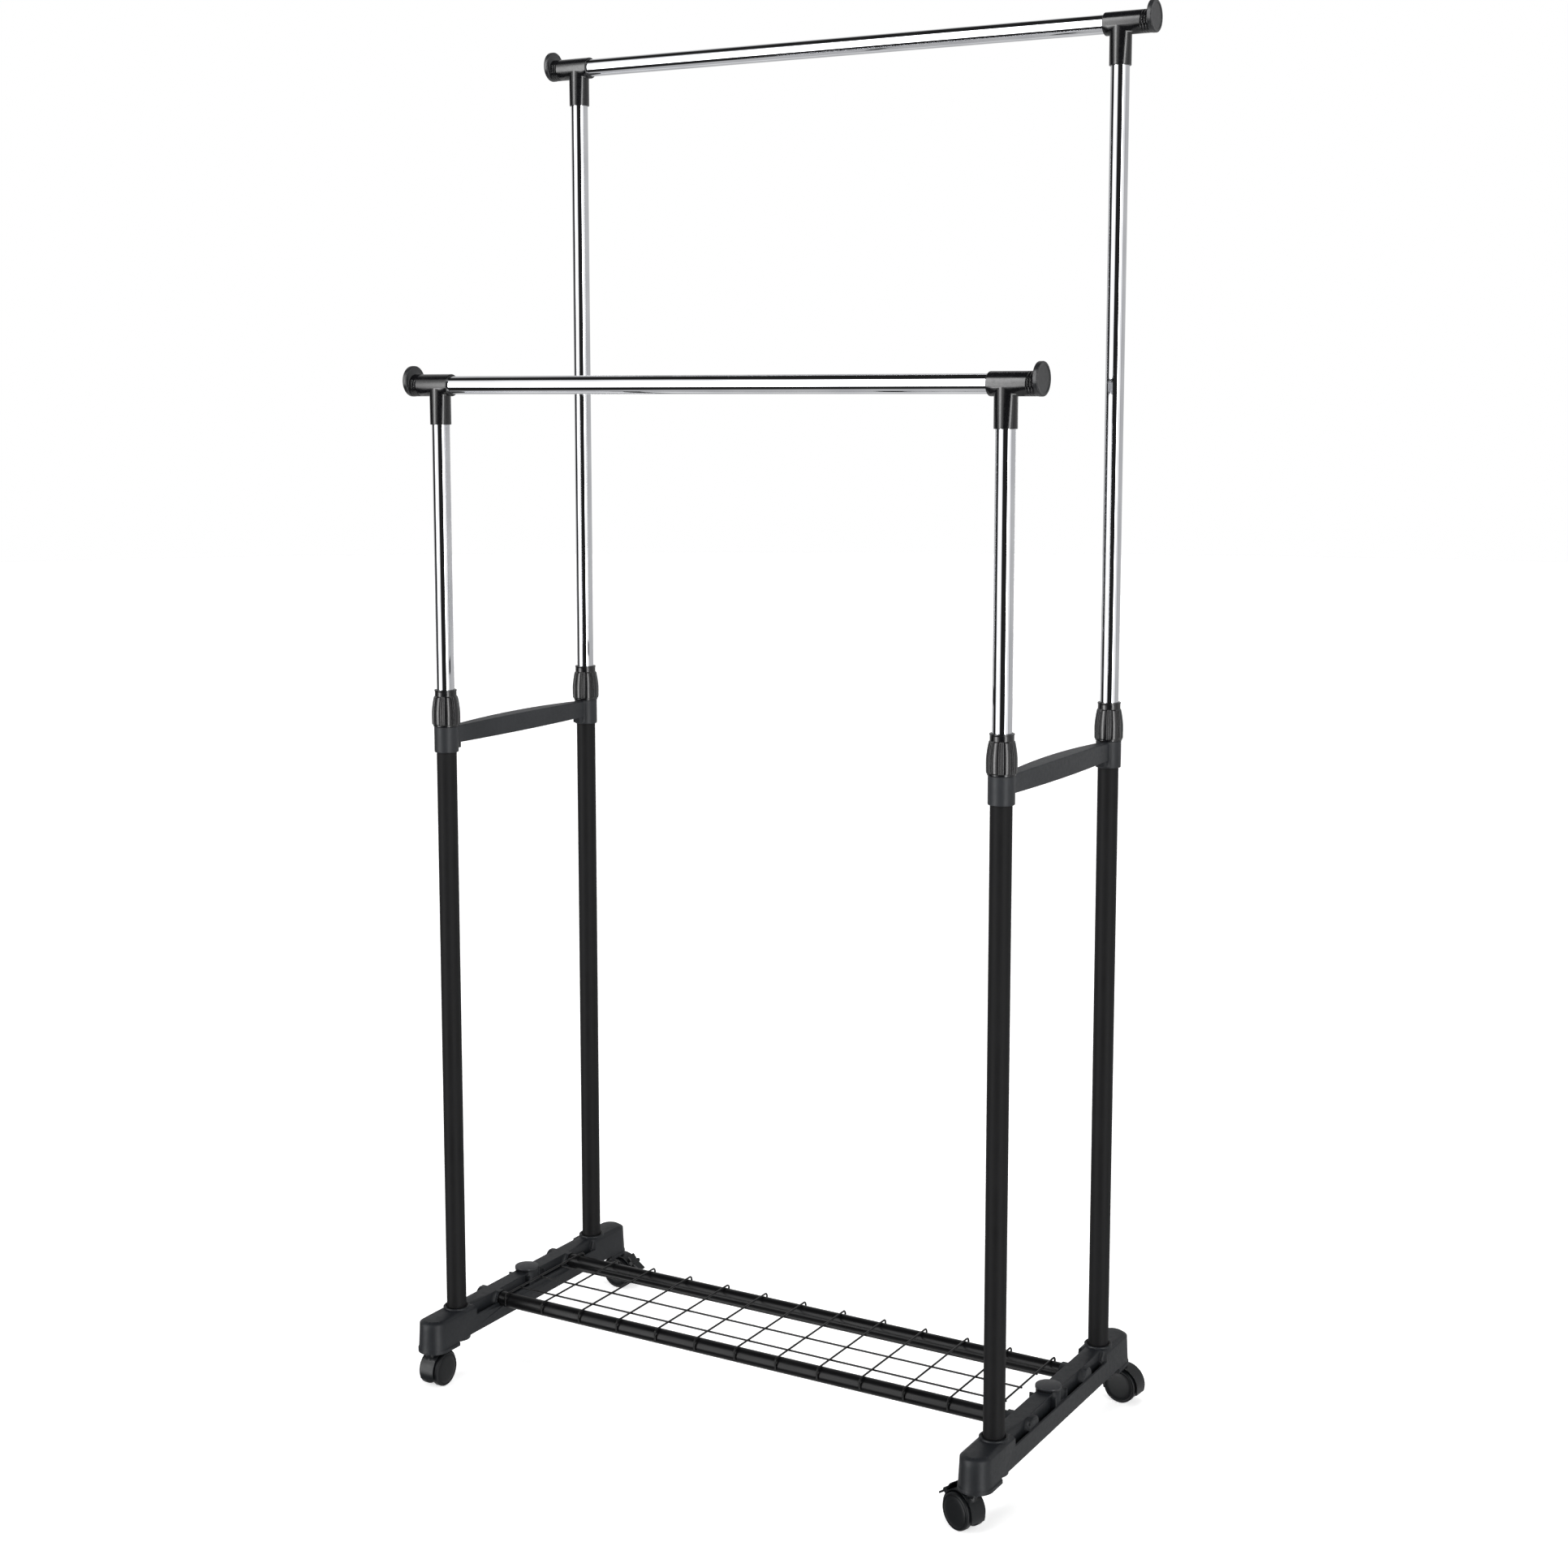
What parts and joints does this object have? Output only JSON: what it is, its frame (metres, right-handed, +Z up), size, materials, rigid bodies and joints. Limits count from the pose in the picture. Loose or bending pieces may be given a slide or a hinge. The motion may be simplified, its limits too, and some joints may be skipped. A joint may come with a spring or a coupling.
{
  "type": "rolling clothes rack",
  "caption": "Rolling clothes rack with low front and tall back rails on telescopic chrome posts, black twist collars, a low wire shelf between moulded base beams, and swivel casters.",
  "frame": {"origin": "On the floor, midway between the four posts.", "axes": "+Z up, +X along the rails to the right, +Y from the low front rail to the tall back rail."},
  "size_m": [0.85, 0.4414, 1.7042],
  "materials": {
    "moulded_plastic": "injection moulded polypropylene, charcoal black, fine matte grain",
    "cap_plastic": "injection moulded polypropylene, dark grey, matte",
    "powder_coat": "steel tube, satin black powder coat",
    "chrome_plate": "steel tube, bright chrome plate",
    "collar_plastic": "injection moulded ABS, black, semi-gloss",
    "collet_plastic": "injection moulded acetal, dark grey",
    "tee_plastic": "injection moulded ABS, black, semi-gloss",
    "disc_plastic": "injection moulded ABS, black, satin face",
    "zinc_steel": "turned steel, bright zinc plate",
    "caster_plastic": "injection moulded nylon, black, fine matte grain",
    "wheel_plastic": "injection moulded nylon, black, smooth tread",
    "lever_plastic": "injection moulded nylon, black",
    "wire_coat": "welded steel wire, black coating"
  },
  "bodies": {
    "stand": {"base_beam_left": "moulded_plastic", "centre_cap_left": "cap_plastic", "brace_left": "moulded_plastic", "base_beam_right": "moulded_plastic", "centre_cap_right": "cap_plastic", "brace_right": "moulded_plastic", "front_left_lower_tube": "powder_coat", "front_left_collet": "collet_plastic", "front_left_caster_stem": "zinc_steel", "front_right_lower_tube": "powder_coat", "front_right_collet": "collet_plastic", "front_right_caster_stem": "zinc_steel", "back_left_lower_tube": "powder_coat", "back_left_collet": "collet_plastic", "back_left_caster_stem": "zinc_steel", "back_right_lower_tube": "powder_coat", "back_right_collet": "collet_plastic", "back_right_caster_stem": "zinc_steel", "front_shelf_tube": "powder_coat", "back_shelf_tube": "powder_coat"},
    "front_frame": {"front_left_upper_tube": "chrome_plate", "front_left_tee": "tee_plastic", "front_left_end_disc": "disc_plastic", "front_right_upper_tube": "chrome_plate", "front_right_tee": "tee_plastic", "front_right_end_disc": "disc_plastic", "front_rail": "chrome_plate"},
    "back_frame": {"back_left_upper_tube": "chrome_plate", "back_left_tee": "tee_plastic", "back_left_end_disc": "disc_plastic", "back_right_upper_tube": "chrome_plate", "back_right_tee": "tee_plastic", "back_right_end_disc": "disc_plastic", "back_rail": "chrome_plate"},
    "shelf": {"wire_shelf": "wire_coat"},
    "front_left_collar": {"front_left_twist_collar": "collar_plastic"},
    "front_left_caster": {"front_left_caster_body": "caster_plastic", "front_left_caster_axle": "zinc_steel"},
    "front_left_inner_wheel": {"front_left_inner_wheel": "wheel_plastic"},
    "front_left_outer_wheel": {"front_left_outer_wheel": "wheel_plastic"},
    "front_right_collar": {"front_right_twist_collar": "collar_plastic"},
    "front_right_caster": {"front_right_caster_body": "caster_plastic", "front_right_caster_axle": "zinc_steel"},
    "front_right_inner_wheel": {"front_right_inner_wheel": "wheel_plastic"},
    "front_right_outer_wheel": {"front_right_outer_wheel": "wheel_plastic"},
    "front_right_brake": {"front_right_brake_lever": "lever_plastic"},
    "back_left_collar": {"back_left_twist_collar": "collar_plastic"},
    "back_left_caster": {"back_left_caster_body": "caster_plastic", "back_left_caster_axle": "zinc_steel"},
    "back_left_inner_wheel": {"back_left_inner_wheel": "wheel_plastic"},
    "back_left_outer_wheel": {"back_left_outer_wheel": "wheel_plastic"},
    "back_left_brake": {"back_left_brake_lever": "lever_plastic"},
    "back_right_collar": {"back_right_twist_collar": "collar_plastic"},
    "back_right_caster": {"back_right_caster_body": "caster_plastic", "back_right_caster_axle": "zinc_steel"},
    "back_right_inner_wheel": {"back_right_inner_wheel": "wheel_plastic"},
    "back_right_outer_wheel": {"back_right_outer_wheel": "wheel_plastic"}
  },
  "joints": [
    {"name": "front_frame_slide", "type": "slide", "parent": "stand", "child": "front_frame", "axis": [0, 0, 1], "range_m": [-0.327, 0.414]},
    {"name": "back_frame_slide", "type": "slide", "parent": "stand", "child": "back_frame", "axis": [0, 0, 1], "range_m": [-0.742, 0]},
    {"name": "shelf_lift", "type": "slide", "parent": "stand", "child": "shelf", "axis": [0, 0, 1], "range_m": [0, 0.06]},
    {"name": "front_left_collar_twist", "type": "hinge", "parent": "stand", "child": "front_left_collar", "pos_m": [-0.381, -0.1515, 0.867], "axis": [0, 0, 1], "range_deg": [0, 150]},
    {"name": "front_left_caster_swivel", "type": "hinge", "parent": "stand", "child": "front_left_caster", "pos_m": [-0.381, -0.2055, 0.03], "axis": [0, 0, 1], "continuous": true},
    {"name": "front_left_inner_wheel_spin", "type": "hinge", "parent": "front_left_caster", "child": "front_left_inner_wheel", "pos_m": [-0.38124, -0.1915, 0.0215], "axis": [0.9998, 0.0175, 0], "continuous": true},
    {"name": "front_left_outer_wheel_spin", "type": "hinge", "parent": "front_left_caster", "child": "front_left_outer_wheel", "pos_m": [-0.38124, -0.1915, 0.0215], "axis": [0.9998, 0.0175, 0], "continuous": true},
    {"name": "front_right_collar_twist", "type": "hinge", "parent": "stand", "child": "front_right_collar", "pos_m": [0.381, -0.1515, 0.867], "axis": [0, 0, 1], "range_deg": [0, 150]},
    {"name": "front_right_caster_swivel", "type": "hinge", "parent": "stand", "child": "front_right_caster", "pos_m": [0.381, -0.2055, 0.03], "axis": [0, 0, 1], "continuous": true},
    {"name": "front_right_inner_wheel_spin", "type": "hinge", "parent": "front_right_caster", "child": "front_right_inner_wheel", "pos_m": [0.36802, -0.20026, 0.0215], "axis": [0.3746, 0.9272, 0], "continuous": true},
    {"name": "front_right_outer_wheel_spin", "type": "hinge", "parent": "front_right_caster", "child": "front_right_outer_wheel", "pos_m": [0.36802, -0.20026, 0.0215], "axis": [0.3746, 0.9272, 0], "continuous": true},
    {"name": "front_right_brake_rock", "type": "hinge", "parent": "front_right_caster", "child": "front_right_brake", "pos_m": [0.34732, -0.19189, 0.03772], "axis": [0.3746, 0.9272, 0], "range_deg": [0, 14]},
    {"name": "back_left_collar_twist", "type": "hinge", "parent": "stand", "child": "back_left_collar", "pos_m": [-0.381, 0.1515, 0.867], "axis": [0, 0, 1], "range_deg": [0, 150]},
    {"name": "back_left_caster_swivel", "type": "hinge", "parent": "stand", "child": "back_left_caster", "pos_m": [-0.381, 0.2055, 0.03], "axis": [0, 0, 1], "continuous": true},
    {"name": "back_left_inner_wheel_spin", "type": "hinge", "parent": "back_left_caster", "child": "back_left_inner_wheel", "pos_m": [-0.367, 0.2055, 0.0215], "axis": [0, -1, 0], "continuous": true},
    {"name": "back_left_outer_wheel_spin", "type": "hinge", "parent": "back_left_caster", "child": "back_left_outer_wheel", "pos_m": [-0.367, 0.2055, 0.0215], "axis": [0, -1, 0], "continuous": true},
    {"name": "back_left_brake_rock", "type": "hinge", "parent": "back_left_caster", "child": "back_left_brake", "pos_m": [-0.34467, 0.2055, 0.03772], "axis": [0, -1, 0], "range_deg": [0, 14]},
    {"name": "back_right_collar_twist", "type": "hinge", "parent": "stand", "child": "back_right_collar", "pos_m": [0.381, 0.1515, 0.867], "axis": [0, 0, 1], "range_deg": [0, 150]},
    {"name": "back_right_caster_swivel", "type": "hinge", "parent": "stand", "child": "back_right_caster", "pos_m": [0.381, 0.2055, 0.03], "axis": [0, 0, 1], "continuous": true},
    {"name": "back_right_inner_wheel_spin", "type": "hinge", "parent": "back_right_caster", "child": "back_right_inner_wheel", "pos_m": [0.39495, 0.20428, 0.0215], "axis": [-0.0872, -0.9962, 0], "continuous": true},
    {"name": "back_right_outer_wheel_spin", "type": "hinge", "parent": "back_right_caster", "child": "back_right_outer_wheel", "pos_m": [0.39495, 0.20428, 0.0215], "axis": [-0.0872, -0.9962, 0], "continuous": true}
  ]
}
